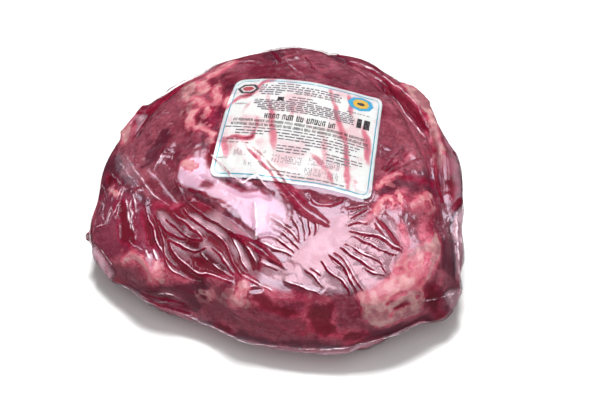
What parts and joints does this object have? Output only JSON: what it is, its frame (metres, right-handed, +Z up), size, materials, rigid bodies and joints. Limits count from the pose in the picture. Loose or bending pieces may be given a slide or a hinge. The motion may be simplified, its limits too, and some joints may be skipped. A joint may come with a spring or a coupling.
{
  "type": "vacuum packed raw heart of rump",
  "caption": "Boneless raw beef cut, an uneven rounded block shrunk tight into a clear bag, with a paper label under the film on its top.",
  "frame": {"origin": "on the floor, under the middle of the pack's box", "axes": "+X to the right along the pack's longest side, +Y to the back, +Z up; the label faces up and a little towards -Y"},
  "size_m": [0.2402, 0.2244, 0.1072],
  "materials": {
    "meat_under_film": "dark red raw meat with cream fat, wet and glossy under clear shrink film",
    "label_paper": "white printed paper, matt, smeared with meat juice under the film"
  },
  "bodies": {
    "root": {"sealed_pack": "meat_under_film", "label": "label_paper"}
  },
  "joints": []
}
